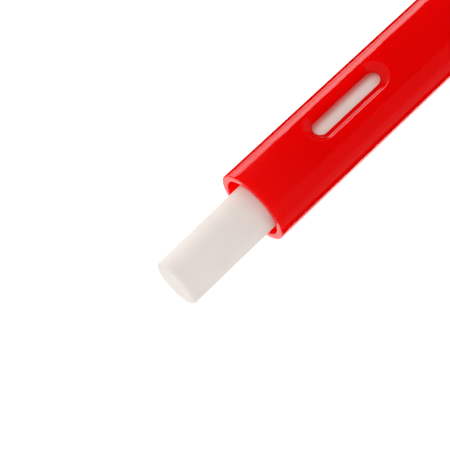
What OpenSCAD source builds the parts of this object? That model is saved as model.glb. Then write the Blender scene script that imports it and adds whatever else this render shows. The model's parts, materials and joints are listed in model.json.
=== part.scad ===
// Pen-type holder for a round eraser stick. The stick's tail is held by the split fingers of a
// carrier that slides inside a plain tube. A sprung thumb button brakes the carrier on the bore.
// Millimetres. The tube lies along X with its mouth towards -X, and +Z is up.

/* [Barrel] */
// Outside diameter of the barrel
barrel_od = 10.6; // [9.6:0.1:13]
// Wall thickness of the barrel
barrel_wall = 1.0; // [0.8:0.05:1.2]
// Bevel on the cut edges of the barrel
barrel_bevel = 0.12; // [0.05:0.01:0.25]
// Length of plain barrel between the retracted carrier and the end plug's spigot
rear_reserve = 1.5; // [0.5:0.5:10]

/* [Window] */
// Distance from the mouth to the front of the window
window_front = 10.2; // [6:0.1:16]
// Length of the window where it meets the outside of the barrel
window_len = 14.1; // [10:0.1:18]
// Width of the window at the inside of the barrel
window_w = 2.1; // [1.6:0.1:2.6]
// Width of the sloped rim round the window
window_rim = 0.9; // [0.6:0.05:1.1]
// Width of the thin shelf between the rim and the opening
window_shelf = 0.3; // [0.2:0.05:0.4]
// Thickness of the shelf at the opening
shelf_t = 0.1; // [0.08:0.01:0.2]

/* [Eraser stick] */
// Diameter of the eraser stick
stick_d = 6.8; // [5.6:0.1:6.8]
// Length of the eraser stick
stick_len = 80; // [70:1:96]
// Length of stick that stands out of the mouth
stick_out = 14; // [8:0.5:20]
// Rounding of the stick's edges
stick_round = 0.5; // [0.2:0.05:0.9]

/* [Carrier] */
// Length of the carrier tube
carrier_len = 52; // [48:1:64]
// Length of stick held by the carrier's fingers
grip_len = 12; // [10:0.5:16]
// Length of the slits between the fingers
slit_len = 9; // [6:0.5:9.5]
// Width of the slits between the fingers
slit_w = 0.8; // [0.5:0.1:1.2]
// Thickness of the wall behind the stick
web_t = 2; // [1:0.5:3]
// How far the fingers come out of the mouth when a stick is changed
fingers_out = 2; // [0:0.5:3]
// How far the stick's tip goes inside the mouth when retracted
tip_inside = 1.5; // [0:0.5:4]

/* [Finger ring] */
// Distance from the carrier's front to the ring's groove
ring_back = 2.6; // [1.5:0.1:4]
// Width of the ring
ring_w = 1.1; // [0.8:0.1:1.6]
// Thickness of the ring
ring_t = 0.3; // [0.2:0.05:0.35]

/* [Slider block] */
// Length of the slider block
block_len = 16; // [15:0.5:20]
// Diameter of the cross pin that holds the block in the carrier
pin_d = 1.2; // [0.8:0.1:1.5]

/* [Thumb button] */
// Width of the slot that the button's stem runs in
slot_w = 3.0; // [2.6:0.1:3.2]
// Length of the button's stem
stem_len = 7; // [6:0.5:8]
// How far the button presses in
press_travel = 0.7; // [0.4:0.05:0.7]
// Length of the thumb pad behind the stem's centre
pad_back = 9.5; // [8:0.5:12]
// Length of the thumb pad in front of the stem's centre
pad_front = 4.5; // [4:0.5:6]
// Width of the thumb pad
pad_w = 7; // [6:0.25:8]
// Thickness of the thumb pad
pad_t = 2.0; // [1.7:0.1:2.6]
// Number of grip grooves across the pad
groove_count = 5; // [3:1:6]

/* [Brake shoe] */
// Length of the brake shoe
shoe_len = 9; // [8.2:0.1:9.4]
// Width of the brake shoe
shoe_w = 5.6; // [5:0.1:5.8]
// Diameter of the rivet through clip, button and shoe
rivet_d = 1.3; // [1:0.1:1.6]

/* [Button spring] */
// Outside diameter of the spring
spring_d = 3.0; // [2.4:0.1:3.2]
// Diameter of the spring wire
wire_d = 0.36; // [0.25:0.01:0.4]
// Number of turns
spring_turns = 5; // [4:1:6]

/* [Pocket clip] */
// Length of the clip's arm in front of the pad
clip_len = 30; // [22:1:34]
// Width of the clip
clip_w = 4.4; // [3.6:0.1:5]
// Thickness of the clip's strip
clip_t = 0.6; // [0.5:0.05:0.8]
// How far the arm bows outward
clip_bow = 0.7; // [0.3:0.1:1.2]
// Diameter of the roll at the clip's tip
clip_roll_d = 1.5; // [1.2:0.1:1.8]

/* [End plug] */
// Length of the six-sided head
head_len = 7; // [5:0.5:10]
// Length of the spigot inside the barrel
spigot_len = 6; // [4:0.5:9]
// Bevel round the head's end
head_bevel = 1.2; // [0.5:0.1:2]
// Wall of the hollow spigot
spigot_wall = 1.2; // [0.8:0.1:1.6]

/* [Fits] */
// Radial gap between the carrier and the bore
slide_gap = 0.08; // [0.05:0.01:0.1]
// Radial gap between the stick and the fingers
stick_gap = 0.02; // [0.01:0.01:0.05]
// Radial gap between the brake shoe and the bore
shoe_gap = 0.04; // [0.02:0.01:0.08]
// Radial gap between the end plug and the bore
plug_gap = 0.03; // [0.01:0.01:0.06]
// Gap on each side of the stem in its slot
stem_gap = 0.1; // [0.05:0.01:0.2]
// Gap between pieces that are fixed to each other
seat_gap = 0.02; // [0.01:0.01:0.03]
// Gap that a moving piece keeps at the end of its travel
stop_gap = 0.3; // [0.2:0.05:0.4]

/* [Hidden] */
$fn = 64;
through = 0.5;                                  // how far a cut runs past the face it leaves by

barrel_r = barrel_od / 2;
bore_r = barrel_r - barrel_wall;
stick_r = stick_d / 2;

// Where the carrier stands, with x = 0 at the mouth
carrier_r = bore_r - slide_gap;
carrier_bore_r = stick_r + stick_gap;
carrier_x = stick_len - stick_out - grip_len;
carrier_end = carrier_x + carrier_len;
travel_out = carrier_x + fingers_out;
travel_in = stick_out + tip_inside;

// The barrel is as long as the carrier's travel and the plug need
barrel_len = carrier_end + travel_in + rear_reserve + spigot_len;
total_len = barrel_len + head_len;

// The button's stem, and the slot that it travels in
stem_x = carrier_end - block_len / 2;
stem_w = slot_w - 2 * stem_gap;
slot_front = stem_x - travel_out - stem_len / 2 - stop_gap;
slot_rear = stem_x + travel_in + stem_len / 2 + stop_gap;

// Heights above the axis, from the shoe's bearing on the bore downwards
shoe_t = 2.06;                                  // thickness of the shoe at its middle
shoe_floor = 1;                                 // thickness left under the stem's pocket in the shoe
press_gap = 0.1;                                // gap left under the shoe when the button is pressed
shoe_top_r = bore_r - shoe_gap;
shoe_z = shoe_top_r - shoe_t;
shoe_pocket_z = shoe_z + shoe_floor;
recess_z = shoe_z - press_travel - press_gap;

// The block's spring pocket and the cross pin behind it
pocket_floor = 1;                               // thickness of the block under the spring
pin_back = 1.8;                                 // distance from the carrier's end to the pin
pocket_floor_z = -carrier_bore_r + pocket_floor;
block_pin_x = carrier_end - pin_back;
pin_z = -0.8;

// The pad stays clear of the barrel when the button is pressed
pad_clear_r = barrel_r + press_travel + stop_gap;
pad_top_r = pad_clear_r + pad_t;
seat_z = pad_top_r - clip_t;

// The clip's strip, from its root under the rivet to the roll at its tip
clip_root = 2.4;                                // how far the root runs behind the stem's centre
clip_steps = 16;
clip_root_z = seat_z + clip_t / 2;
clip_end_z = pad_clear_r + clip_roll_d - clip_t / 2;

// Places the part with the bottom centre of its bounding box at the origin
module in_frame() translate([-(total_len - stick_out) / 2, 0, barrel_r]) children();

// Turns a shape that stands along Z so that it lies along X, starting at x
module along_x(x) translate([x, 0, 0]) rotate([0, 90, 0]) children();

// Turns a cylinder that stands along Z so that it lies across the part
module across_y() rotate([90, 0, 0]) children();

// A block with round ends, from x0 to x1 and z0 to z1
module round_ended(x0, x1, width, z0, z1) {
    for (x = [x0 + width / 2, x1 - width / 2])
        translate([x, 0, z0]) cylinder(d = width, h = z1 - z0);
    translate([x0 + width / 2, -width / 2, z0]) cube([x1 - x0 - width, width, z1 - z0]);
}

// Points of a quarter circle round (cx, cy), from angle a
function quarter(cx, cy, r, a, steps = 6) =
    [for (i = [0 : steps]) [cx + r * cos(a + 90 * i / steps), cy + r * sin(a + 90 * i / steps)]];

// The window's cut: an opening with a thin shelf along each side, and a rim that slopes to the outside.
// At its two ends the rim runs right down to the opening.
module window_cut() {
    narrow = window_w / 2;
    shelf_r = narrow + window_shelf;
    wide = shelf_r + window_rim;
    end_rim = window_rim + window_shelf;
    shelf_z = sqrt(bore_r * bore_r - narrow * narrow) + shelf_t;
    side_h = sqrt(barrel_r * barrel_r - wide * wide) - shelf_z;
    side_slope = window_rim / side_h;
    squash = end_rim / (barrel_r - shelf_z) / side_slope;
    rim_h = 2 * barrel_wall;
    x0 = window_front + end_rim;
    x1 = window_front + window_len - end_rim;
    // A flat of each cone faces sideways, so the straight sides between them run on flush.
    sides = 24;
    round_ended(x0, x1, window_w, 0, barrel_r + through);
    hull() for (x = [x0 + shelf_r * squash, x1 - shelf_r * squash])
        translate([x, 0, shelf_z]) scale([squash, 1, 1]) rotate([0, 0, 180 / sides])
            cylinder(r1 = shelf_r, r2 = shelf_r + side_slope * rim_h, h = rim_h, $fn = sides);
}

module barrel() {
    b = barrel_bevel;
    color([0.84, 0.02, 0.02]) in_frame() difference() {
        along_x(0) rotate_extrude() polygon([
            [bore_r + b, 0], [barrel_r - b, 0], [barrel_r, b], [barrel_r, barrel_len - b],
            [barrel_r - b, barrel_len], [bore_r + b, barrel_len], [bore_r, barrel_len - b], [bore_r, b]]);
        window_cut();
        round_ended(slot_front, slot_rear, slot_w, 0, barrel_r + through);
    }
}

module eraser_stick() {
    front = stick_r - stick_round;
    color([0.88, 0.85, 0.82]) in_frame() along_x(-stick_out) rotate_extrude() polygon(concat(
        [[0, 0]], quarter(front, stick_round, stick_round, -90),
        quarter(front, stick_len - stick_round, stick_round, 0), [[0, stick_len]]));
}

module carrier_tube() {
    stop_x = carrier_x + grip_len + stop_gap;
    groove_r = carrier_r - ring_t - seat_gap;
    color([0.93, 0.93, 0.9]) in_frame() difference() {
        along_x(carrier_x) cylinder(r = carrier_r, h = carrier_len);
        along_x(carrier_x - through) cylinder(r = carrier_bore_r, h = stop_x - carrier_x + through);
        along_x(stop_x + web_t) cylinder(r = carrier_bore_r, h = carrier_len);
        for (turn = [45, 135]) rotate([turn, 0, 0])
            translate([carrier_x - through, -slit_w / 2, -carrier_r - through])
                cube([slit_len + through, slit_w, 2 * (carrier_r + through)]);
        along_x(carrier_x + ring_back) difference() {
            cylinder(r = carrier_r + through, h = ring_w + 2 * seat_gap);
            translate([0, 0, -through]) cylinder(r = groove_r, h = ring_w + 2 * through);
        }
        shoe_recess();
        translate([block_pin_x, 0, pin_z]) across_y()
            cylinder(d = pin_d + 2 * seat_gap, h = barrel_od, center = true);
    }
}

// The space above the block in which the shoe moves
module shoe_recess() {
    length = shoe_len + 2 * stop_gap;
    translate([stem_x - length / 2, -carrier_r, recess_z]) cube([length, 2 * carrier_r, barrel_r]);
}

module finger_ring() {
    inner = carrier_r - ring_t;
    color([0.75, 0.76, 0.78]) in_frame() difference() {
        along_x(carrier_x + ring_back + seat_gap) cylinder(r = carrier_r - seat_gap / 2, h = ring_w);
        along_x(carrier_x) cylinder(r = inner, h = carrier_len);
        translate([carrier_x, -slit_w / 2, 0]) cube([carrier_len, slit_w, carrier_r + through]);
    }
}

module slider_block() {
    color([0.2, 0.2, 0.22]) in_frame() difference() {
        along_x(carrier_end - block_len) cylinder(r = carrier_bore_r - seat_gap, h = block_len);
        shoe_recess();
        translate([stem_x, 0, pocket_floor_z]) cylinder(d = spring_d + 2 * stem_gap, h = barrel_od);
        translate([block_pin_x, 0, pin_z]) across_y()
            cylinder(d = pin_d + 2 * seat_gap, h = barrel_od, center = true);
    }
}

module block_pin() {
    half = sqrt(carrier_r * carrier_r - pin_z * pin_z) - 2 * slide_gap;
    color([0.7, 0.71, 0.73]) in_frame() translate([block_pin_x, 0, pin_z]) across_y()
        cylinder(d = pin_d, h = 2 * half, center = true);
}

module brake_shoe() {
    color([0.12, 0.12, 0.13]) in_frame() difference() {
        intersection() {
            along_x(stem_x - shoe_len / 2) cylinder(r = shoe_top_r, h = shoe_len);
            translate([stem_x - shoe_len / 2, -shoe_w / 2, shoe_z]) cube([shoe_len, shoe_w, barrel_r]);
        }
        round_ended(stem_x - stem_len / 2 - seat_gap, stem_x + stem_len / 2 + seat_gap,
                    stem_w + 2 * seat_gap, shoe_pocket_z, barrel_r);
        translate([stem_x, 0, 0]) cylinder(d = rivet_d + 2 * seat_gap, h = barrel_r);
    }
}

// A point on the spring wire's surface, at angle a round the coil and angle b round the wire
function coil_point(a, b, mean_r, wire_r, z) =
    [(mean_r + wire_r * cos(b)) * cos(a), (mean_r + wire_r * cos(b)) * sin(a), z + wire_r * sin(b)];

module button_spring() {
    sides = 8;
    steps_a_turn = 16;
    steps = spring_turns * steps_a_turn;
    wire_r = wire_d / 2;
    mean_r = spring_d / 2 - wire_r;
    z0 = pocket_floor_z + seat_gap + wire_r;
    z1 = shoe_z - seat_gap - wire_r;
    points = [for (i = [0 : steps]) for (j = [0 : sides - 1])
        coil_point(i * 360 / steps_a_turn, j * 360 / sides, mean_r, wire_r, z0 + (z1 - z0) * i / steps)];
    skin = [for (i = [0 : steps - 1]) for (j = [0 : sides - 1])
        let (k = (j + 1) % sides)
        [i * sides + j, (i + 1) * sides + j, (i + 1) * sides + k, i * sides + k]];
    first = [for (j = [0 : sides - 1]) j];
    last = [for (j = [sides - 1 : -1 : 0]) steps * sides + j];
    color([0.72, 0.73, 0.75]) in_frame() translate([stem_x, 0, 0])
        polyhedron(points, concat([first], skin, [last]), convexity = 8);
}

// The pad's outline seen from above, with rounded corners
module pad_outline() {
    corner = 1.6;
    for (x = [-pad_front + corner, pad_back - corner]) for (side = [-1, 1])
        translate([x, side * (pad_w / 2 - corner)]) circle(r = corner);
    translate([-pad_front + corner, -pad_w / 2]) square([pad_front + pad_back - 2 * corner, pad_w]);
    translate([-pad_front, -pad_w / 2 + corner]) square([pad_front + pad_back, pad_w - 2 * corner]);
}

module thumb_button() {
    groove_r = 0.42;
    plain = 1;                                  // plain pad left before the first groove and after the last
    grooves_from = clip_root + groove_r / 2 + plain;
    groove_pitch = (pad_back - plain - grooves_from) / (groove_count - 1);
    color([0.84, 0.02, 0.02]) in_frame() difference() {
        union() {
            intersection() {
                translate([stem_x, 0, 0]) linear_extrude(pad_top_r + through) pad_outline();
                difference() {
                    along_x(0) cylinder(r = pad_top_r, h = total_len);
                    along_x(-through) cylinder(r = pad_clear_r, h = total_len + 1);
                }
            }
            round_ended(stem_x - stem_len / 2, stem_x + stem_len / 2, stem_w, shoe_pocket_z + seat_gap,
                        pad_clear_r + pad_t / 2);
        }
        translate([stem_x - pad_front - through, -clip_w / 2 - stem_gap, seat_z - seat_gap])
            cube([pad_front + clip_root + stem_gap + through, clip_w + 2 * stem_gap, barrel_r]);
        translate([stem_x, 0, 0]) cylinder(d = rivet_d + 2 * seat_gap, h = barrel_od);
        for (i = [0 : groove_count - 1])
            translate([stem_x + grooves_from + i * groove_pitch, 0, pad_top_r + groove_r / 3]) across_y()
                cylinder(r = groove_r, h = pad_w + 1, center = true, $fn = 24);
    }
}

// Height of the middle of the clip's strip, from 0 at the pad to 1 at the tip
function clip_z(t) = clip_root_z + clip_bow * sin(180 * t) + (clip_end_z - clip_root_z) * t * t;

module pocket_clip() {
    arm_x = stem_x - pad_front;
    tip_x = arm_x - clip_len;
    middle = concat([[stem_x + clip_root, clip_root_z]],
                    [for (i = [0 : clip_steps]) [arm_x - clip_len * i / clip_steps, clip_z(i / clip_steps)]]);
    upper = [for (p = middle) [p.x, p.y + clip_t / 2]];
    lower = [for (i = [len(middle) - 1 : -1 : 0]) [middle[i].x, middle[i].y - clip_t / 2]];
    roll_z = pad_clear_r + clip_roll_d / 2;
    color([0.78, 0.79, 0.81]) in_frame() difference() {
        union() {
            across_y() linear_extrude(clip_w, center = true) polygon(concat(upper, lower));
            translate([tip_x, 0, roll_z]) across_y() cylinder(d = clip_roll_d, h = clip_w, center = true);
        }
        translate([stem_x, 0, 0]) cylinder(d = rivet_d + 2 * seat_gap, h = 2 * barrel_od);
    }
}

module clip_rivet() {
    head_h = 0.5;
    head_r = rivet_d * 0.85;
    foot_z = shoe_z + 2 * seat_gap;
    top = seat_z + clip_t + seat_gap;
    color([0.7, 0.71, 0.73]) in_frame() translate([stem_x, 0, 0]) rotate_extrude() polygon(concat(
        [[0, foot_z], [rivet_d / 2, foot_z], [rivet_d / 2, top], [head_r, top]],
        [for (i = [1 : 5]) [head_r * cos(18 * i), top + head_h * sin(18 * i)]]));
}

module end_plug() {
    flat_to_corner = cos(30);
    hex_r = barrel_r / flat_to_corner;
    cavity_r = bore_r - plug_gap - spigot_wall;
    lead_in = 0.5;
    color([0.84, 0.02, 0.02]) in_frame() difference() {
        union() {
            intersection() {
                along_x(barrel_len) rotate([0, 0, 30]) cylinder(r = hex_r, h = head_len, $fn = 6);
                along_x(barrel_len) rotate_extrude() polygon([[0, 0], [hex_r, 0],
                    [hex_r, head_len - head_bevel / 2], [hex_r - head_bevel, head_len], [0, head_len]]);
            }
            along_x(barrel_len - spigot_len) rotate_extrude() polygon([[0, 0],
                [bore_r - plug_gap - lead_in / 2, 0], [bore_r - plug_gap, lead_in],
                [bore_r - plug_gap, spigot_len + through], [0, spigot_len + through]]);
        }
        along_x(barrel_len - spigot_len - through) cylinder(r = cavity_r, h = spigot_len + head_len / 2);
    }
}

barrel();
eraser_stick();
carrier_tube();
finger_ring();
slider_block();
block_pin();
brake_shoe();
button_spring();
thumb_button();
pocket_clip();
clip_rivet();
end_plug();
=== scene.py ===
"""Stick eraser holder: the looks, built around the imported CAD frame. Metres, in the CAD's frame.

The barrel lies along X with its mouth towards -X. The window, slot, button and clip are on top (+Z).
"""
import json
import math

import bmesh
import bpy
from mathutils import Matrix, Vector, noise


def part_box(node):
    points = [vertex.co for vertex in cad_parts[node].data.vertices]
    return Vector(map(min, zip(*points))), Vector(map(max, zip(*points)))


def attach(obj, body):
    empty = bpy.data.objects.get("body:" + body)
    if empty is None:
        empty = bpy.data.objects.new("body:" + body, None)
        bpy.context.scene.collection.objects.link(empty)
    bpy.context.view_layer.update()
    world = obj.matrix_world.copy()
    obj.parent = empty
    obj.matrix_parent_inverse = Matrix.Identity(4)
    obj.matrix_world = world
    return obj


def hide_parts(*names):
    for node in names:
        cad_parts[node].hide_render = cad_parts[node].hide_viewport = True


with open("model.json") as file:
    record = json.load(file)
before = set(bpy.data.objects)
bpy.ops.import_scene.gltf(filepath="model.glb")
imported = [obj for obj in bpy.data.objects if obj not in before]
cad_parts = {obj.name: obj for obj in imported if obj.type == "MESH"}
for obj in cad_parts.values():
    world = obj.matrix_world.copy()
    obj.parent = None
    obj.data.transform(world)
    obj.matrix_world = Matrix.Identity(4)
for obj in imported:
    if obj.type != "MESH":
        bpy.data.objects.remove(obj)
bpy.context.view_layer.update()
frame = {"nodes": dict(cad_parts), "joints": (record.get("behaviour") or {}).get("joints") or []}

MM = 0.001

# ---------------------------------------------------------------- places, from the frame
barrel_lo, barrel_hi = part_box("barrel")
stick_lo, stick_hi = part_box("eraser_stick")
plug_lo, plug_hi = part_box("end_plug")
pad_lo, pad_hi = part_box("thumb_button")
clip_lo, clip_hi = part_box("pocket_clip")
rivet_lo, rivet_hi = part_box("clip_rivet")

MOUTH = barrel_lo.x
BARREL_R = (barrel_hi.y - barrel_lo.y) / 2
AXIS_Z = barrel_lo.z + BARREL_R
WALL = 1.0 * MM
BORE_R = BARREL_R - WALL

# ---------------------------------------------------------------- mesh helpers


def new_object(name, bm, smooth=True):
    """Turns a bmesh into an object in the scene."""
    bmesh.ops.recalc_face_normals(bm, faces=bm.faces)
    mesh = bpy.data.meshes.new(name)
    bm.to_mesh(mesh)
    bm.free()
    obj = bpy.data.objects.new(name, mesh)
    bpy.context.scene.collection.objects.link(obj)
    for face in mesh.polygons:
        face.use_smooth = smooth
    return obj


def apply_modifiers(obj):
    """Replaces the object's mesh with its mesh after modifiers."""
    graph = bpy.context.evaluated_depsgraph_get()
    mesh = bpy.data.meshes.new_from_object(obj.evaluated_get(graph))
    obj.modifiers.clear()
    obj.data = mesh


def flat_sides(obj):
    """Keeps large faces flat next to narrow rounded edges."""
    weighted = obj.modifiers.new("weighted", "WEIGHTED_NORMAL")
    weighted.keep_sharp = True
    weighted.weight = 100
    apply_modifiers(obj)


def arc(cx, cy, r, start, end, steps):
    """Points on an arc, from angle start to end in degrees."""
    turn = [math.radians(start + (end - start) * i / steps) for i in range(steps + 1)]
    return [(cx + r * math.cos(a), cy + r * math.sin(a)) for a in turn]


def lathe(name, profile, steps, place, shift=None):
    """Turns (radius, height) points round an axis. place maps (height, across, up) to a point.
    shift, if given, returns a small change of height for each (radius, angle, height)."""
    bm = bmesh.new()
    rings = []
    for r, h in profile:
        if r < 1e-7:
            extra = shift(0, 0, h) if shift else 0
            rings.append([bm.verts.new(place(h + extra, 0, 0))])
            continue
        ring = []
        for j in range(steps):
            a = 2 * math.pi * j / steps
            extra = shift(r, a, h) if shift else 0
            ring.append(bm.verts.new(place(h + extra, r * math.sin(a), r * math.cos(a))))
        rings.append(ring)
    for a, b in zip(rings, rings[1:]):
        for j in range(steps):
            k = (j + 1) % steps
            corners = [a[j % len(a)], a[k % len(a)], b[k % len(b)], b[j % len(b)]]
            corners = list(dict.fromkeys(corners))
            if len(corners) > 2:
                bm.faces.new(corners)
    return new_object(name, bm)


def along_axis(x0):
    """Places a lathe's shape along the barrel's axis, from x0."""
    return lambda h, across, up: (x0 + h, across, AXIS_Z + up)


# ---------------------------------------------------------------- barrel

COLUMNS = 144                       # faces round the tube
HALF = 18                           # columns on each side of the top that an opening's patch takes
EDGE = 0.13 * MM                    # rounding of the barrel's cut edges


def opening(front, rear, profile, rows):
    """An opening with round ends. profile(side) gives its (half width, radius) pairs, which run from the
    bore to the outside."""
    return {"front": front, "rear": rear, "profile": profile,
            "patch": (front - PATCH_MARGIN, rear + PATCH_MARGIN), "rows": rows}


WINDOW_FRONT = 10.2 * MM
WINDOW_LENGTH = 14.1 * MM
WINDOW_HALF = 1.05 * MM             # half the opening's width, inside
WINDOW_SHELF = 0.3 * MM             # the thin shelf along each side of the opening
WINDOW_RIM = 0.9 * MM               # the rim that slopes from the shelf to the outside
SHELF_T = 0.1 * MM                  # wall left under the shelf
SLOT_HALF = 1.5 * MM
STEM_HALF = 3.5 * MM                # half the length of the button's stem
PATCH_MARGIN = 3 * MM               # how far an opening's patch runs past it at each end


def window_profile(side):
    """(half width, radius) pairs round the window, from the bore to the outside. side runs from 0 at
    the window's two ends, where the rim slopes right down to the opening, to 1 along its sides."""
    soft = 0.07 * MM                # rounding of the window's edges
    end_slope = 0.4                 # share of the end's slope that the first three of its points take
    shelf_z = math.sqrt(BORE_R ** 2 - WINDOW_HALF ** 2) + SHELF_T
    wide = WINDOW_HALF + WINDOW_SHELF + WINDOW_RIM
    rim_foot = WINDOW_HALF + WINDOW_SHELF
    rim_z = math.sqrt(BARREL_R ** 2 - wide ** 2)
    along_side = [(WINDOW_HALF + soft * 0.4, shelf_z), (WINDOW_HALF + soft * 1.6, shelf_z),
                  (WINDOW_HALF + WINDOW_SHELF / 2, shelf_z), (rim_foot - soft, shelf_z),
                  (rim_foot + soft, shelf_z + soft * 0.4)]
    at_end = [(WINDOW_HALF + soft * 0.4, BORE_R + soft * 1.5), (WINDOW_HALF + soft * 1.6, BORE_R + soft * 2)]
    foot_x, foot_z = at_end[-1]
    for share in (0.12, 0.3, end_slope):
        at_end.append((foot_x + (wide - foot_x) * share, foot_z + (BARREL_R - foot_z) * share))
    for share in (0.35, 0.65, 0.93):
        along_side.append((rim_foot + WINDOW_RIM * share, shelf_z + (rim_z - shelf_z) * share))
        climb = end_slope + (1 - end_slope) * share
        at_end.append((foot_x + (wide - foot_x) * climb, foot_z + (BARREL_R - foot_z) * climb))
    points = [(WINDOW_HALF + soft, BORE_R), (WINDOW_HALF + soft * 0.3, BORE_R + soft * 0.3),
              (WINDOW_HALF, BORE_R + soft)]
    for (side_half, side_z), (end_half, end_z) in zip(along_side, at_end):
        half = end_half + (side_half - end_half) * side
        z = end_z + (side_z - end_z) * side
        points.append((half, math.hypot(z, half * side)))
    return points + [(wide - soft * 0.2, BARREL_R - soft * 0.12), (wide + soft * 0.3, BARREL_R)]


def slot_profile(side):
    """The slot's edge is the same all round, so side isn't used."""
    soft = 0.14 * MM
    inside = [(SLOT_HALF + soft - soft * math.sin(a), BORE_R + soft - soft * math.cos(a))
              for a in (0, math.pi / 4, math.pi / 2)]
    outside = [(SLOT_HALF + soft - soft * math.cos(a), BARREL_R - soft + soft * math.sin(a))
               for a in (0, math.pi / 6, math.pi / 3, math.pi / 2)]
    return inside + outside


def build_barrel():
    # The slot runs from the stem's travel in front of the button to its travel behind it.
    slide = next(j for j in frame["joints"] if j["name"] == "carrier_slide")
    shoe_lo, shoe_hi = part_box("brake_shoe")
    stem_x = (shoe_lo.x + shoe_hi.x) / 2
    end_gap = 0.3 * MM
    slot_front = stem_x - slide["range_m"][1] - STEM_HALF - end_gap
    slot_rear = stem_x - slide["range_m"][0] + STEM_HALF + end_gap
    length = barrel_hi.x - MOUTH
    openings = [
        opening(MOUTH + WINDOW_FRONT, MOUTH + WINDOW_FRONT + WINDOW_LENGTH, window_profile, 30),
        opening(slot_front, slot_rear, slot_profile, 60)]

    rows = [MOUTH + EDGE]
    spans = []
    for o in openings:
        front, rear = o["patch"]
        plain = max(2, round((front - rows[-1]) / (1.2 * MM)))
        start = rows[-1]
        rows += [start + (front - start) * i / plain for i in range(1, plain + 1)]
        spans.append((len(rows) - 1, len(rows) - 1 + o["rows"]))
        rows += [front + (rear - front) * i / o["rows"] for i in range(1, o["rows"] + 1)]
    last = MOUTH + length - EDGE
    start = rows[-1]
    rows += [start + (last - start) * i / 6 for i in range(1, 7)]

    bm = bmesh.new()

    def vertex(x, angle, r):
        return bm.verts.new((x, r * math.sin(angle), AXIS_Z + r * math.cos(angle)))

    def in_patch(i, j):
        j = (j + COLUMNS // 2) % COLUMNS - COLUMNS // 2
        return any(i0 < i < i1 for i0, i1 in spans) and abs(j) < HALF

    def face_in_patch(i, j):
        j = (j + COLUMNS // 2) % COLUMNS - COLUMNS // 2
        return any(i0 <= i < i1 for i0, i1 in spans) and -HALF <= j < HALF

    walls = {}
    for r in (BARREL_R, BORE_R):
        grid = {}
        for i, x in enumerate(rows):
            for j in range(COLUMNS):
                if not in_patch(i, j):
                    grid[i, j] = vertex(x, 2 * math.pi * j / COLUMNS, r)
        for i in range(len(rows) - 1):
            for j in range(COLUMNS):
                if not face_in_patch(i, j):
                    k = (j + 1) % COLUMNS
                    bm.faces.new([grid[i, j], grid[i, k], grid[i + 1, k], grid[i + 1, j]])
        walls[r] = grid

    def bridge(a, b):
        n = len(a)
        for j in range(n):
            bm.faces.new([a[j], a[(j + 1) % n], b[(j + 1) % n], b[j]])

    # The two cut ends of the tube, from the outer wall to the bore
    for row, x_end, inward in ((0, MOUTH, 1), (len(rows) - 1, MOUTH + length, -1)):
        outer = [(BARREL_R - EDGE * (1 - math.cos(a)), EDGE * (1 - math.sin(a)))
                 for a in (math.pi / 6, math.pi / 3, math.pi / 2)]
        inner = [(BORE_R + EDGE * (1 - math.cos(a)), EDGE * (1 - math.sin(a)))
                 for a in (math.pi / 2, math.pi / 3, math.pi / 6)]
        before = [walls[BARREL_R][row, j] for j in range(COLUMNS)]
        for r, depth in outer + inner:
            ring = [vertex(x_end + inward * depth, 2 * math.pi * j / COLUMNS, r) for j in range(COLUMNS)]
            bridge(before, ring)
            before = ring
        bridge(before, [walls[BORE_R][row, j] for j in range(COLUMNS)])

    # Each opening: loops that turn from the patch's border into the opening's outline
    for o, (i0, i1) in zip(openings, spans):
        border = ([(i0, j) for j in range(-HALF, HALF)] + [(i, HALF) for i in range(i0, i1)]
                  + [(i1, j) for j in range(HALF, -HALF, -1)] + [(i, -HALF) for i in range(i1, i0, -1)])
        half_out = o["profile"](1)[-1][0]
        spine = (o["front"] + half_out, o["rear"] - half_out)

        def outline(i, j, level):
            """The place of one point of the opening's outline, at one level of its profile."""
            x, u = rows[i], 2 * math.pi * j / COLUMNS * BARREL_R
            cx = min(max(x, spine[0]), spine[1])
            reach = math.hypot(x - cx, u)
            half, r = o["profile"](abs(u) / reach)[level]
            return cx + half * (x - cx) / reach, math.asin(half * u / reach / r), r

        def blend(i, j, level, t, r):
            x, angle, _ = outline(i, j, level)
            return x + (rows[i] - x) * t, angle + (2 * math.pi * j / COLUMNS - angle) * t, r

        levels = len(o["profile"](1))
        before = [walls[BARREL_R][i, j % COLUMNS] for i, j in border]
        for t in (0.7, 0.45, 0.25, 0.1):
            ring = [vertex(*blend(i, j, levels - 1, t, BARREL_R)) for i, j in border]
            bridge(before, ring)
            before = ring
        for level in reversed(range(levels)):
            ring = [vertex(*outline(i, j, level)) for i, j in border]
            bridge(before, ring)
            before = ring
        for t in (0.15, 0.4, 0.7):
            ring = [vertex(*blend(i, j, 0, t, BORE_R)) for i, j in border]
            bridge(before, ring)
            before = ring
        bridge(before, [walls[BORE_R][i, j % COLUMNS] for i, j in border])
    obj = new_object("barrel_shell", bm)
    flat_sides(obj)
    return obj


# ---------------------------------------------------------------- eraser stick

STICK_LEAN = 0.28 * MM              # how far the stick has leant at the mouth
LEAN_WAY = Vector((0, -0.93, -0.36))


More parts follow.
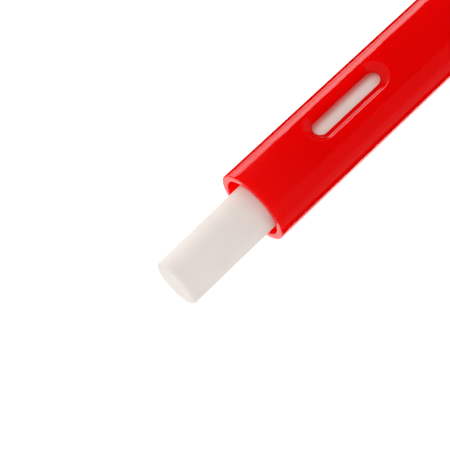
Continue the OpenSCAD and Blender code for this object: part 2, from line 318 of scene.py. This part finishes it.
def build_stick():
    r = (stick_hi.y - stick_lo.y) / 2
    length = stick_hi.x - stick_lo.x
    soft = 0.5 * MM
    end = [(r * t, 0.0) for t in (0, 0.15, 0.3, 0.45, 0.6, 0.72)] + [(r - soft, 0.0)]
    nose = arc(r - soft, soft, soft, -75, 0, 6)
    side = [(r, soft + (length - 2 * soft) * i / 60) for i in range(1, 61)]
    tail = arc(r - soft, length - soft, soft, 15, 90, 5)

    def cut_end(radius, angle, height):
        """The tip was cut with a blade and has worn a little: it is uneven by a few hundredths."""
        if height > 2 * soft:
            return 0
        fade = 1 - height / (2 * soft)
        spot = Vector((radius * math.sin(angle), radius * math.cos(angle), 0)) / (1.6 * MM)
        rough = noise.noise(spot) * 0.05 + noise.noise(spot * 3.1) * 0.018
        return (abs(rough) + 0.012) * MM * fade

    stick = lathe("eraser_stick_soft", end + nose + side + tail + [(0, length)], 96,
                  along_axis(stick_lo.x), cut_end)
    # The soft stick leans a little to one side in front of the fingers that hold its tail.
    held_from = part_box("carrier_tube")[0].x
    free = held_from - MOUTH
    for vertex in stick.data.vertices:
        bend = STICK_LEAN * max(0, (held_from - vertex.co.x) / free) ** 2
        vertex.co += LEAN_WAY * bend
    return stick


# ---------------------------------------------------------------- end plug


def build_plug():
    flats = BARREL_R
    corner = flats / math.cos(math.pi / 6)
    head_x = barrel_hi.x
    bm = bmesh.new()
    ends = []
    for x in (head_x, plug_hi.x):
        ends.append([bm.verts.new((x, corner * math.sin(math.pi / 3 * k + math.pi / 6),
                                   AXIS_Z + corner * math.cos(math.pi / 3 * k + math.pi / 6)))
                     for k in range(6)])
    for k in range(6):
        bm.faces.new([ends[0][k], ends[0][(k + 1) % 6], ends[1][(k + 1) % 6], ends[1][k]])
    bm.faces.new(ends[0])
    bm.faces.new(ends[1])
    bmesh.ops.recalc_face_normals(bm, faces=bm.faces)
    # The bevel round the head's end
    rim = [e for e in bm.edges if all(v.co.x > plug_hi.x - 1e-6 for v in e.verts)]
    bmesh.ops.bevel(bm, geom=rim, offset=0.85 * MM, segments=5, profile=0.6, affect="EDGES")
    sharp = [e for e in bm.edges if len(e.link_faces) == 2 and e.calc_face_angle() > math.radians(25)]
    bmesh.ops.bevel(bm, geom=sharp, offset=0.22 * MM, segments=3, profile=0.5, affect="EDGES",
                    clamp_overlap=True)
    head = new_object("end_plug_head", bm)
    flat_sides(head)
    return head


def build_spigot():
    outer = BORE_R - 0.03 * MM
    inner = outer - 1.2 * MM
    x0 = plug_lo.x
    length = barrel_hi.x - x0 + 0.3 * MM
    depth = length + 3.0 * MM
    soft = 0.3 * MM
    profile = [(0, depth), (inner - soft, depth)] + arc(inner - soft, depth - soft, soft, 90, 0, 3)
    profile += [(inner, 0.15 * MM)] + [(inner + 0.15 * MM, 0), (outer - 0.35 * MM, 0)]
    profile += [(outer, 0.5 * MM), (outer, length), (outer - 0.4 * MM, length)]
    return lathe("end_plug_spigot", profile, 96, along_axis(x0))


# ---------------------------------------------------------------- thumb button


def build_pad():
    """The pad is a curved slab over the barrel, with rounded corners and grip grooves across it."""
    top_r = pad_hi.z - AXIS_Z
    under_r = BARREL_R + 1.0 * MM
    corner = 1.6 * MM
    soft = 0.35 * MM
    under_soft = soft / 2
    half_w = (pad_hi.y - pad_lo.y) / 2
    x0, x1 = pad_lo.x, pad_hi.x
    nx, ny = 140, 56
    groove_half = 0.42 * MM
    groove_depth = 0.26 * MM
    seat_end = rivet_centre().x + 2.5 * MM
    first = rivet_centre().x + 3.6 * MM
    last = x1 - 1.0 * MM
    count = 5
    centres = [first + (last - first) * i / (count - 1) for i in range(count)]
    clip_half = (clip_hi.y - clip_lo.y) / 2 + 0.1 * MM
    seat_z = rivet_seat_z()

    def inside(x, y):
        """Distance from the pad's outline, inwards."""
        cx = min(max(x, x0 + corner), x1 - corner)
        cy = min(max(y, -half_w + corner), half_w - corner)
        return corner - math.hypot(x - cx, y - cy) if (x != cx or y != cy) else min(
            x - x0, x1 - x, half_w - abs(y))

    bm = bmesh.new()

    def point(s, t):
        """Maps a square to the rounded outline: s and t run from -1 to 1."""
        x = (x0 + x1) / 2 + s * (x1 - x0) / 2
        y = t * half_w
        cx = min(max(x, x0 + corner), x1 - corner)
        cy = min(max(y, -half_w + corner), half_w - corner)
        dx, dy = x - cx, y - cy
        if dx and dy:
            big = max(abs(dx), abs(dy))
            scale = big / math.hypot(dx, dy)
            x, y = cx + dx * scale, cy + dy * scale
        return x, y

    def spread(i, n):
        """Steps that crowd towards both ends, so that the rounded edges get more faces."""
        u = 2 * i / n - 1
        return math.copysign(1 - (1 - abs(u)) ** 1.5, u)

    top, bottom = {}, {}
    for i in range(nx + 1):
        for j in range(ny + 1):
            x, y = point(spread(i, nx), spread(j, ny))
            d = max(0.0, inside(x, y))
            drop = 0 if d > soft else soft - math.sqrt(max(0.0, soft ** 2 - (soft - d) ** 2))
            z = math.sqrt(top_r ** 2 - y ** 2) - drop
            for c in centres:
                if abs(x - c) < groove_half:
                    z -= groove_depth * math.cos(math.pi / 2 * (x - c) / groove_half)
            if x < seat_end and abs(y) < clip_half:
                z = min(z, seat_z - AXIS_Z)
            under = math.sqrt(under_r ** 2 - y ** 2)
            rise = 0 if d > under_soft else under_soft - math.sqrt(
                max(0.0, under_soft ** 2 - (under_soft - d) ** 2))
            top[i, j] = bm.verts.new((x, y, AXIS_Z + z))
            bottom[i, j] = bm.verts.new((x, y, AXIS_Z + under + rise))
    for i in range(nx):
        for j in range(ny):
            bm.faces.new([top[i, j], top[i + 1, j], top[i + 1, j + 1], top[i, j + 1]])
            bm.faces.new([bottom[i, j], bottom[i, j + 1], bottom[i + 1, j + 1], bottom[i + 1, j]])
    rim = ([(i, 0) for i in range(nx)] + [(nx, j) for j in range(ny)]
           + [(i, ny) for i in range(nx, 0, -1)] + [(0, j) for j in range(ny, 0, -1)])
    for a, b in zip(rim, rim[1:] + rim[:1]):
        bm.faces.new([top[a], top[b], bottom[b], bottom[a]])
    pad = new_object("thumb_pad", bm)
    flat_sides(pad)
    return pad


def rivet_centre():
    return (rivet_lo + rivet_hi) / 2


def rivet_seat_z():
    """Height of the seat that the clip's root lies on."""
    return pad_hi.z - 0.6 * MM


def build_stem():
    """The stem that joins the pad to the shoe through the slot."""
    half = 1.4 * MM
    reach = STEM_HALF - half
    x = rivet_centre().x
    bm = bmesh.new()
    outline = [(x + reach + half * math.cos(a), half * math.sin(a))
               for a in [math.radians(-90 + 180 * i / 20) for i in range(21)]]
    outline += [(x - reach + half * math.cos(a), half * math.sin(a))
                for a in [math.radians(90 + 180 * i / 20) for i in range(21)]]
    low, high = pad_lo.z, AXIS_Z + BARREL_R + 1.3 * MM
    rings = [[bm.verts.new((px, py, z)) for px, py in outline] for z in (low, high)]
    n = len(outline)
    for j in range(n):
        bm.faces.new([rings[0][j], rings[0][(j + 1) % n], rings[1][(j + 1) % n], rings[1][j]])
    bm.faces.new(rings[0])
    bm.faces.new(rings[1])
    bmesh.ops.recalc_face_normals(bm, faces=bm.faces)
    sharp = [e for e in bm.edges if len(e.link_faces) == 2 and e.calc_face_angle() > math.radians(60)]
    bmesh.ops.bevel(bm, geom=sharp, offset=0.12 * MM, segments=2, profile=0.5, affect="EDGES")
    stem = new_object("button_stem", bm)
    flat_sides(stem)
    return stem


# ---------------------------------------------------------------- clip and rivet


def build_clip():
    """A strip with rounded edges, swept along the bowed arm and rolled at its tip."""
    half_w = (clip_hi.y - clip_lo.y) / 2
    thick = 0.6 * MM
    soft = 0.14 * MM
    roll_r = 0.75 * MM
    root_end = clip_hi.x
    arm_x = pad_lo.x
    tip_x = clip_lo.x + roll_r
    root_z = rivet_seat_z() + thick / 2
    end_z = clip_lo.z + 2 * roll_r - thick / 2
    bow = 0.7 * MM
    centre = [Vector((root_end, 0, root_z)), Vector((root_end - 0.1 * MM, 0, root_z))]
    centre += [Vector((root_end + (arm_x - root_end) * i / 8, 0, root_z)) for i in range(1, 9)]
    steps = 60
    for i in range(1, steps + 1):
        t = i / steps
        z = root_z + bow * math.sin(math.pi * t) + (end_z - root_z) * t * t
        centre.append(Vector((arm_x + (tip_x - arm_x) * t, 0, z)))
    # The roll at the tip turns down and back under the arm
    roll_centre = Vector((tip_x, 0, end_z + thick / 2 - roll_r))
    for i in range(1, 17):
        a = math.radians(90 + 290 * i / 16)
        inner = roll_r - thick / 2
        centre.append(roll_centre + Vector((inner * math.cos(a), 0, inner * math.sin(a))))
    section = []
    for sy, sz in ((1, 1), (-1, 1), (-1, -1), (1, -1)):
        start = {(1, 1): 0, (-1, 1): 90, (-1, -1): 180, (1, -1): 270}[sy, sz]
        section += arc(sy * (half_w - soft), sz * (thick / 2 - soft), soft, start, start + 90, 3)
    bm = bmesh.new()
    rings = []
    for i, c in enumerate(centre):
        ahead = centre[min(i + 1, len(centre) - 1)] - centre[max(i - 1, 0)]
        ahead.normalize()
        normal = Vector((0, 1, 0)).cross(ahead)
        # Upwards along the arm, and then the same side all round the roll
        wanted = Vector((0, 0, 1)) if i < steps else last_normal
        if normal.dot(wanted) < 0:
            normal.negate()
        last_normal = normal
        shrink = 0.94 if i in (0, len(centre) - 1) else 1.0
        rings.append([bm.verts.new(c + Vector((0, y * shrink, 0)) + normal * z * shrink)
                      for y, z in section])
    n = len(section)
    for a, b in zip(rings, rings[1:]):
        for j in range(n):
            bm.faces.new([a[j], a[(j + 1) % n], b[(j + 1) % n], b[j]])
    bm.faces.new(rings[0])
    bm.faces.new(rings[-1])
    clip = new_object("pocket_clip_strip", bm)
    flat_sides(clip)
    return clip


def build_rivet():
    centre = rivet_centre()
    shank = 0.65 * MM
    head = (rivet_hi.x - rivet_lo.x) / 2
    seat = rivet_seat_z() + 0.62 * MM
    height = rivet_hi.z - seat
    dome = [(head * math.cos(a), seat + height * math.sin(a))
            for a in [math.radians(8 + 82 * i / 9) for i in range(9)]]
    top = rivet_hi.z
    dimple = [(0.30 * MM, top - 0.02 * MM), (0.18 * MM, top - 0.10 * MM), (0, top - 0.11 * MM)]
    profile = [(0, rivet_lo.z), (shank, rivet_lo.z), (shank, seat), (head - 0.03 * MM, seat)]
    profile += dome + dimple
    return lathe("clip_rivet_domed", profile, 48,
                 lambda h, across, up: (centre.x + up, across, h))


# ---------------------------------------------------------------- materials


def node_material(name):
    material = bpy.data.materials.new(name)
    material.use_nodes = True
    tree = material.node_tree
    shader = tree.nodes["Principled BSDF"]
    place = tree.nodes.new("ShaderNodeTexCoord")
    return material, tree, shader, place.outputs["Object"]


def noise_node(tree, place, scale, detail=3.0, roughness=0.5, stretch=None):
    """Noise in the part's own coordinates. scale is in features per metre."""
    source = place
    if stretch:
        mapping = tree.nodes.new("ShaderNodeMapping")
        mapping.inputs["Scale"].default_value = stretch
        tree.links.new(place, mapping.inputs["Vector"])
        source = mapping.outputs["Vector"]
    texture = tree.nodes.new("ShaderNodeTexNoise")
    texture.inputs["Scale"].default_value = scale
    texture.inputs["Detail"].default_value = detail
    texture.inputs["Roughness"].default_value = roughness
    tree.links.new(source, texture.inputs["Vector"])
    return texture.outputs["Fac"]


def ramp(tree, value, stops):
    """A colour ramp: stops are (position, colour)."""
    node = tree.nodes.new("ShaderNodeValToRGB")
    elements = node.color_ramp.elements
    while len(elements) < len(stops):
        elements.new(0.5)
    for element, (position, colour) in zip(elements, stops):
        element.position = position
        element.color = (*colour, 1)
    tree.links.new(value, node.inputs["Fac"])
    return node.outputs["Color"]


def to_range(tree, value, low, high, from_low=0.3, from_high=0.7):
    node = tree.nodes.new("ShaderNodeMapRange")
    node.inputs["From Min"].default_value = from_low
    node.inputs["From Max"].default_value = from_high
    node.inputs["To Min"].default_value = low
    node.inputs["To Max"].default_value = high
    tree.links.new(value, node.inputs["Value"])
    return node.outputs["Result"]


def bump(tree, shader, height, distance, strength, before=None):
    node = tree.nodes.new("ShaderNodeBump")
    node.inputs["Distance"].default_value = distance
    node.inputs["Strength"].default_value = strength
    tree.links.new(height, node.inputs["Height"])
    if before:
        tree.links.new(before, node.inputs["Normal"])
    tree.links.new(node.outputs["Normal"], shader.inputs["Normal"])
    return node.outputs["Normal"]


def red_plastic(name, roughness=(0.05, 0.09), worn_front=None, wear=0.0):
    """Glossy moulded plastic that lets red light through, with faint flow marks and hairline scratches.
    worn_front, if given, is (x, x, roughness): the surface is that much duller before the first x, and
    clears up to the second."""
    material, tree, shader, place = node_material(name)
    flow = noise_node(tree, place, 60, 2, 0.5, (0.25, 1, 1))
    colour = ramp(tree, flow, [(0.3, (0.90, 0.0020, 0.0016)), (0.7, (0.93, 0.0026, 0.0021))])
    tree.links.new(colour, shader.inputs["Base Color"])
    handled = noise_node(tree, place, 420, 4, 0.6)
    gloss = to_range(tree, handled, *roughness)
    if worn_front:
        split = tree.nodes.new("ShaderNodeSeparateXYZ")
        tree.links.new(place, split.inputs["Vector"])
        start, end, dull = worn_front
        more = to_range(tree, split.outputs["X"], dull, 0.0, start, end)
        both = tree.nodes.new("ShaderNodeMath")
        both.operation = "ADD"
        tree.links.new(gloss, both.inputs[0])
        tree.links.new(more, both.inputs[1])
        gloss = both.outputs["Value"]
    tree.links.new(gloss, shader.inputs["Roughness"])
    shader.inputs["IOR"].default_value = 1.49
    shader.inputs["Subsurface Weight"].default_value = 1.0
    shader.inputs["Subsurface Radius"].default_value = (1.0, 0.05, 0.04)
    shader.inputs["Subsurface Scale"].default_value = 2.5 * MM
    peel = noise_node(tree, place, 900, 2)
    first = bump(tree, shader, peel, 0.004 * MM, 0.5)
    if wear:
        scratches = noise_node(tree, place, 1500, 3, 0.7, (0.08, 1, 1))
        bump(tree, shader, scratches, 0.01 * MM, wear, first)
    through = tree.nodes.new("ShaderNodeBsdfTranslucent")
    through.inputs["Color"].default_value = (0.95, 0.001, 0.001, 1)
    mix = tree.nodes.new("ShaderNodeMixShader")
    mix.inputs["Fac"].default_value = 0.5
    tree.links.new(shader.outputs["BSDF"], mix.inputs[1])
    tree.links.new(through.outputs["BSDF"], mix.inputs[2])
    tree.links.new(mix.outputs["Shader"], tree.nodes["Material Output"].inputs["Surface"])
    return material


def eraser_vinyl():
    """Soft white vinyl: chalky, faintly mottled and with fine grain."""
    material, tree, shader, place = node_material("eraser_vinyl")
    cloud = noise_node(tree, place, 260, 4, 0.55)
    colour = ramp(tree, cloud, [(0.3, (0.72, 0.66, 0.61)), (0.7, (0.757, 0.70, 0.654))])
    tree.links.new(colour, shader.inputs["Base Color"])
    grain = noise_node(tree, place, 5200, 3, 0.6)
    tree.links.new(to_range(tree, grain, 0.5, 0.62), shader.inputs["Roughness"])
    shader.inputs["Specular IOR Level"].default_value = 0.35
    shader.inputs["Subsurface Weight"].default_value = 0.15
    shader.inputs["Subsurface Radius"].default_value = (1.0, 0.85, 0.7)
    shader.inputs["Subsurface Scale"].default_value = 0.3 * MM
    first = bump(tree, shader, grain, 0.02 * MM, 0.25)
    drawn = noise_node(tree, place, 900, 2, 0.5, (0.05, 1, 1))
    bump(tree, shader, drawn, 0.03 * MM, 0.25, first)
    return material


def moulded(name, dark, light, roughness, grain=2600):
    """Plain moulded plastic for the pieces inside."""
    material, tree, shader, place = node_material(name)
    cloud = noise_node(tree, place, 300, 4)
    tree.links.new(ramp(tree, cloud, [(0.3, dark), (0.7, light)]), shader.inputs["Base Color"])
    fine = noise_node(tree, place, grain, 3)
    tree.links.new(to_range(tree, fine, *roughness), shader.inputs["Roughness"])
    bump(tree, shader, fine, 0.01 * MM, 0.35)
    return material


def brushed_metal(name, dark, light, roughness, along=(0.05, 1, 1)):
    """Steel with fine drawing lines along one direction."""
    material, tree, shader, place = node_material(name)
    lines = noise_node(tree, place, 4200, 3, 0.65, along)
    tree.links.new(ramp(tree, lines, [(0.3, dark), (0.7, light)]), shader.inputs["Base Color"])
    tree.links.new(to_range(tree, lines, *roughness), shader.inputs["Roughness"])
    shader.inputs["Metallic"].default_value = 1.0
    bump(tree, shader, lines, 0.006 * MM, 0.3)
    return material


def dress(obj, material):
    obj.data.materials.clear()
    obj.data.materials.append(material)


def piece(obj, body, slot, material, *nodes):
    """Puts a modelled piece on its body in place of the CAD nodes that it stands for."""
    dress(obj, material)
    if nodes:
        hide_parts(*nodes)
    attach(obj, body)


barrel_red = red_plastic("barrel_red", worn_front=(MOUTH + 4 * MM, MOUTH + 10 * MM, 0.12))
button_red = red_plastic("button_red", (0.12, 0.24), wear=0.2)
plug_red = red_plastic("plug_red", (0.09, 0.18), wear=0.1)
nylon = moulded("natural_nylon", (0.70, 0.69, 0.63), (0.78, 0.77, 0.72), (0.35, 0.5))
acetal = moulded("black_acetal", (0.018, 0.018, 0.02), (0.035, 0.035, 0.038), (0.38, 0.52))
shoe_black = moulded("shoe_acetal", (0.014, 0.014, 0.015), (0.03, 0.03, 0.032), (0.42, 0.58))
plated = brushed_metal("clip_plated", (0.66, 0.67, 0.69), (0.80, 0.81, 0.83), (0.14, 0.26))
drawn_steel = brushed_metal("drawn_steel", (0.50, 0.50, 0.52), (0.66, 0.66, 0.68), (0.22, 0.36), (1, 0.05, 1))
spring_wire = brushed_metal("spring_wire", (0.48, 0.49, 0.51), (0.62, 0.63, 0.65), (0.2, 0.34), (1, 1, 0.2))
ring_steel = brushed_metal("ring_steel", (0.5, 0.5, 0.52), (0.64, 0.64, 0.66), (0.2, 0.32), (1, 0.2, 0.2))
rivet_steel = brushed_metal("rivet_steel", (0.56, 0.56, 0.58), (0.70, 0.70, 0.72), (0.18, 0.3), (1, 1, 0.1))

piece(build_barrel(), "barrel", "red_barrel", barrel_red, "barrel")
piece(build_stick(), "stick", "eraser", eraser_vinyl(), "eraser_stick")
piece(build_plug(), "plug", "red_plug", plug_red, "end_plug")
piece(build_spigot(), "plug", "red_plug", plug_red)
piece(build_pad(), "button", "red_button", button_red, "thumb_button")
piece(build_stem(), "button", "red_button", button_red)
piece(build_clip(), "button", "clip_steel", plated, "pocket_clip")
piece(build_rivet(), "button", "rivet_steel", rivet_steel, "clip_rivet")

KEPT = {"carrier_tube": nylon, "finger_ring": ring_steel, "slider_block": acetal, "block_pin": drawn_steel,
        "brake_shoe": shoe_black, "button_spring": spring_wire}
for node_name, node_look in KEPT.items():
    dress(frame["nodes"][node_name], node_look)

# ---------------------------------------------------------------- floor, light and camera


FLOOR_SIZE = 4.0
FLOOR_GLOW = 0.85                   # brings the pale floor up to white, as on a lit table


def build_floor():
    size = FLOOR_SIZE
    bm = bmesh.new()
    corners = [bm.verts.new((sx * size, sy * size, 0)) for sx, sy in ((-1, -1), (1, -1), (1, 1), (-1, 1))]
    bm.faces.new(corners)
    floor = new_object("floor", bm, smooth=False)
    material, tree, shader, place = node_material("floor_white")
    tone = noise_node(tree, place, 3, 2)
    tree.links.new(ramp(tree, tone, [(0.3, (0.44, 0.44, 0.44)), (0.7, (0.46, 0.46, 0.46))]),
                   shader.inputs["Base Color"])
    shader.inputs["Roughness"].default_value = 0.9
    shader.inputs["Specular IOR Level"].default_value = 0.0
    shader.inputs["Emission Color"].default_value = (1, 1, 1, 1)
    shader.inputs["Emission Strength"].default_value = FLOOR_GLOW
    dress(floor, material)
    floor.visible_glossy = False


build_floor()

# The camera: the axis is tilted 15.2 degrees to the picture, runs up to the right at 43 degrees, and the
# window's middle is turned 21 degrees from the line of sight.
TILT = math.radians(15.2)
SLANT = math.radians(43.0)
TURN = math.radians(21.0)
LENS = 112                          # millimetres, for a 36 mm sensor
AWAY = 176 * MM                     # distance from the mouth to the camera's plane
MOUTH_RIGHT = 3.40 * MM             # where the mouth's centre stands from the middle of the view
MOUTH_UP = 2.14 * MM

toward = Vector((0, -math.sin(TURN), math.cos(TURN)))
to_camera = Vector((-math.sin(TILT), 0, 0)) + toward * math.cos(TILT)
axis_shown = (Vector((1, 0, 0)) + to_camera * math.sin(TILT)) / math.cos(TILT)
across = Vector((0, -math.cos(TURN), -math.sin(TURN)))
right = axis_shown * math.cos(SLANT) + across * math.sin(SLANT)
up = axis_shown * math.sin(SLANT) - across * math.cos(SLANT)
mouth = Vector((MOUTH, 0, AXIS_Z))

camera_data = bpy.data.cameras.new("camera")
camera_data.sensor_width = 36
camera_data.lens = LENS
camera_data.clip_start = 0.01
camera_data.clip_end = 20
camera = bpy.data.objects.new("camera", camera_data)
camera.matrix_world = Matrix((right, up, to_camera)).transposed().to_4x4()
camera.matrix_world.translation = mouth + to_camera * AWAY - right * MOUTH_RIGHT - up * MOUTH_UP
bpy.context.scene.collection.objects.link(camera)
bpy.context.scene.camera = camera


def softbox(name, direction, distance, length, width, radiance, glossy=True):
    """A rectangular light that faces the mouth, with its length along the barrel."""
    data = bpy.data.lights.new(name, "AREA")
    data.shape = "RECTANGLE"
    data.size = length
    data.size_y = width
    data.energy = radiance * math.pi * length * width
    light = bpy.data.objects.new(name, data)
    aim = Vector(direction).normalized()
    along = (Vector((1, 0, 0)) - aim * aim.x).normalized()
    light.matrix_world = Matrix((along, aim.cross(along), aim)).transposed().to_4x4()
    light.matrix_world.translation = mouth + aim * distance
    light.visible_glossy = glossy
    bpy.context.scene.collection.objects.link(light)


def round_axis(x, degrees):
    """A direction with the given part along the axis, turned from straight up towards +Y."""
    reach = math.sqrt(1 - x * x)
    turn = math.radians(degrees)
    return (x, reach * math.sin(turn), reach * math.cos(turn))


ROOM = 0.85                         # strength of the white room
SEEN_ROOM = (0.4, 0.4, 0.4)         # the same room in reflections
BLACK = (0, 0, 0)


def studio_world():
    """An even white room. In reflections it is greyer, and a band across it is dark, as behind a studio's
    black flags."""
    world = bpy.data.worlds.new("studio")
    world.use_nodes = True
    tree = world.node_tree
    place = tree.nodes.new("ShaderNodeTexCoord")
    split = tree.nodes.new("ShaderNodeSeparateXYZ")
    tree.links.new(place.outputs["Generated"], split.inputs["Vector"])
    band = ramp(tree, to_range(tree, split.outputs["X"], 0, 1, -1, 1),
                [(0.49, SEEN_ROOM), (0.54, BLACK), (0.73, BLACK), (0.79, SEEN_ROOM)])
    path = tree.nodes.new("ShaderNodeLightPath")
    mix = tree.nodes.new("ShaderNodeMix")
    mix.data_type = "RGBA"
    colours = [socket for socket in mix.inputs if socket.type == "RGBA"]
    colours[0].default_value = (1, 1, 1, 1)
    tree.links.new(band, colours[1])
    tree.links.new(path.outputs["Is Glossy Ray"], mix.inputs["Factor"])
    result = next(socket for socket in mix.outputs if socket.type == "RGBA")
    tree.links.new(result, tree.nodes["Background"].inputs["Color"])
    tree.nodes["Background"].inputs["Strength"].default_value = ROOM
    return world


bpy.context.scene.world = studio_world()
# Red light goes round inside the tube many times before it comes out.
bpy.context.scene.cycles.diffuse_bounces = 12
bpy.context.scene.cycles.max_bounces = 16

LEVEL = 0.262                       # along the axis, where a side light mirrors into the tilted camera

softbox("key", (-0.45, 0.245, 0.858), 0.5, 0.3, 0.3, 2.0, glossy=False)
softbox("strip_left", round_axis(LEVEL, 99.3), 0.6, 1.0, 0.355, 2.0)
softbox("strip_left_high", round_axis(LEVEL, 90.8), 0.6, 1.0, 0.17, 2.2)
softbox("card_below", round_axis(0.05, 172), 0.5, 0.7, 0.384, 2.0)
softbox("fill_right", round_axis(LEVEL, -99), 0.6, 1.0, 0.9, 0.14)
softbox("fill_low_right", round_axis(LEVEL, -122), 0.6, 1.0, 0.35, 0.16)

bpy.context.scene.view_settings.view_transform = "Standard"
bpy.context.scene.view_settings.look = "None"
